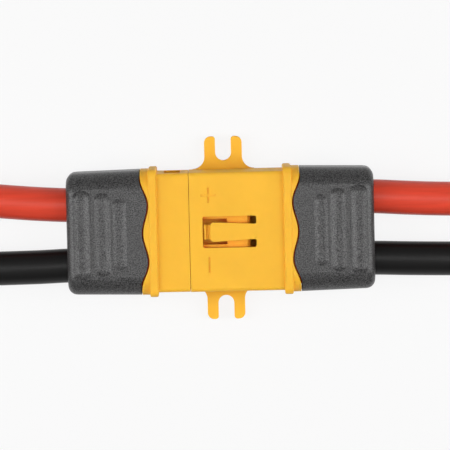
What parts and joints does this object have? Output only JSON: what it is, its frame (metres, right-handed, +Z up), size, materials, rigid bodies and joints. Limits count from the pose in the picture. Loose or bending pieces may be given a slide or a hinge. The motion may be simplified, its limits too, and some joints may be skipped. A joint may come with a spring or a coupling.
{
  "type": "high-current battery connector pair",
  "caption": "Mated high-current battery connector: yellow latched plug and socket with screw ears, grey sheaths over the solder joints and short red and black silicone leads.",
  "frame": {"origin": "on the mounting plane, under the middle of the mated pair", "axes": "+X along the leads towards the socket half, +Y across the poles towards the positive pole, +Z up"},
  "size_m": [0.14, 0.0242, 0.0093],
  "materials": {
    "housing_nylon": "satin moulded nylon",
    "sheath_nylon": "fine spark-eroded matt",
    "contact_gold": "gold plated, turned",
    "solder": "flowed solder",
    "tinned_copper": "tinned strands",
    "red_silicone": "soft matt silicone",
    "black_silicone": "soft matt silicone"
  },
  "bodies": {
    "socket_half": {"socket_housing": "housing_nylon", "socket_sheath": "sheath_nylon", "socket_pin_positive": "contact_gold", "socket_pin_negative": "contact_gold", "socket_solder_positive": "solder", "socket_solder_negative": "solder", "socket_core_positive": "tinned_copper", "socket_core_negative": "tinned_copper", "socket_lead_red": "red_silicone", "socket_lead_black": "black_silicone", "socket_tip_red": "tinned_copper", "socket_tip_black": "tinned_copper"},
    "plug_half": {"plug_housing": "housing_nylon", "plug_sheath": "sheath_nylon", "plug_contact_positive": "contact_gold", "plug_contact_negative": "contact_gold", "plug_solder_positive": "solder", "plug_solder_negative": "solder", "plug_core_positive": "tinned_copper", "plug_core_negative": "tinned_copper", "plug_lead_red": "red_silicone", "plug_lead_black": "black_silicone", "plug_tip_red": "tinned_copper", "plug_tip_black": "tinned_copper"},
    "latch": {"latch_tongue": "housing_nylon"}
  },
  "joints": [
    {"name": "unplug", "type": "slide", "parent": "socket_half", "child": "plug_half", "axis": [-1, 0, 0], "range_m": [0, 0.012], "deforming": ["latch_tongue"]},
    {"name": "latch_lift", "type": "hinge", "parent": "socket_half", "child": "latch", "pos_m": [0.00469, 0, 0.00875], "axis": [0, 1, 0], "range_deg": [0, 10], "stiffness_Nm_per_rad": 0.05}
  ]
}
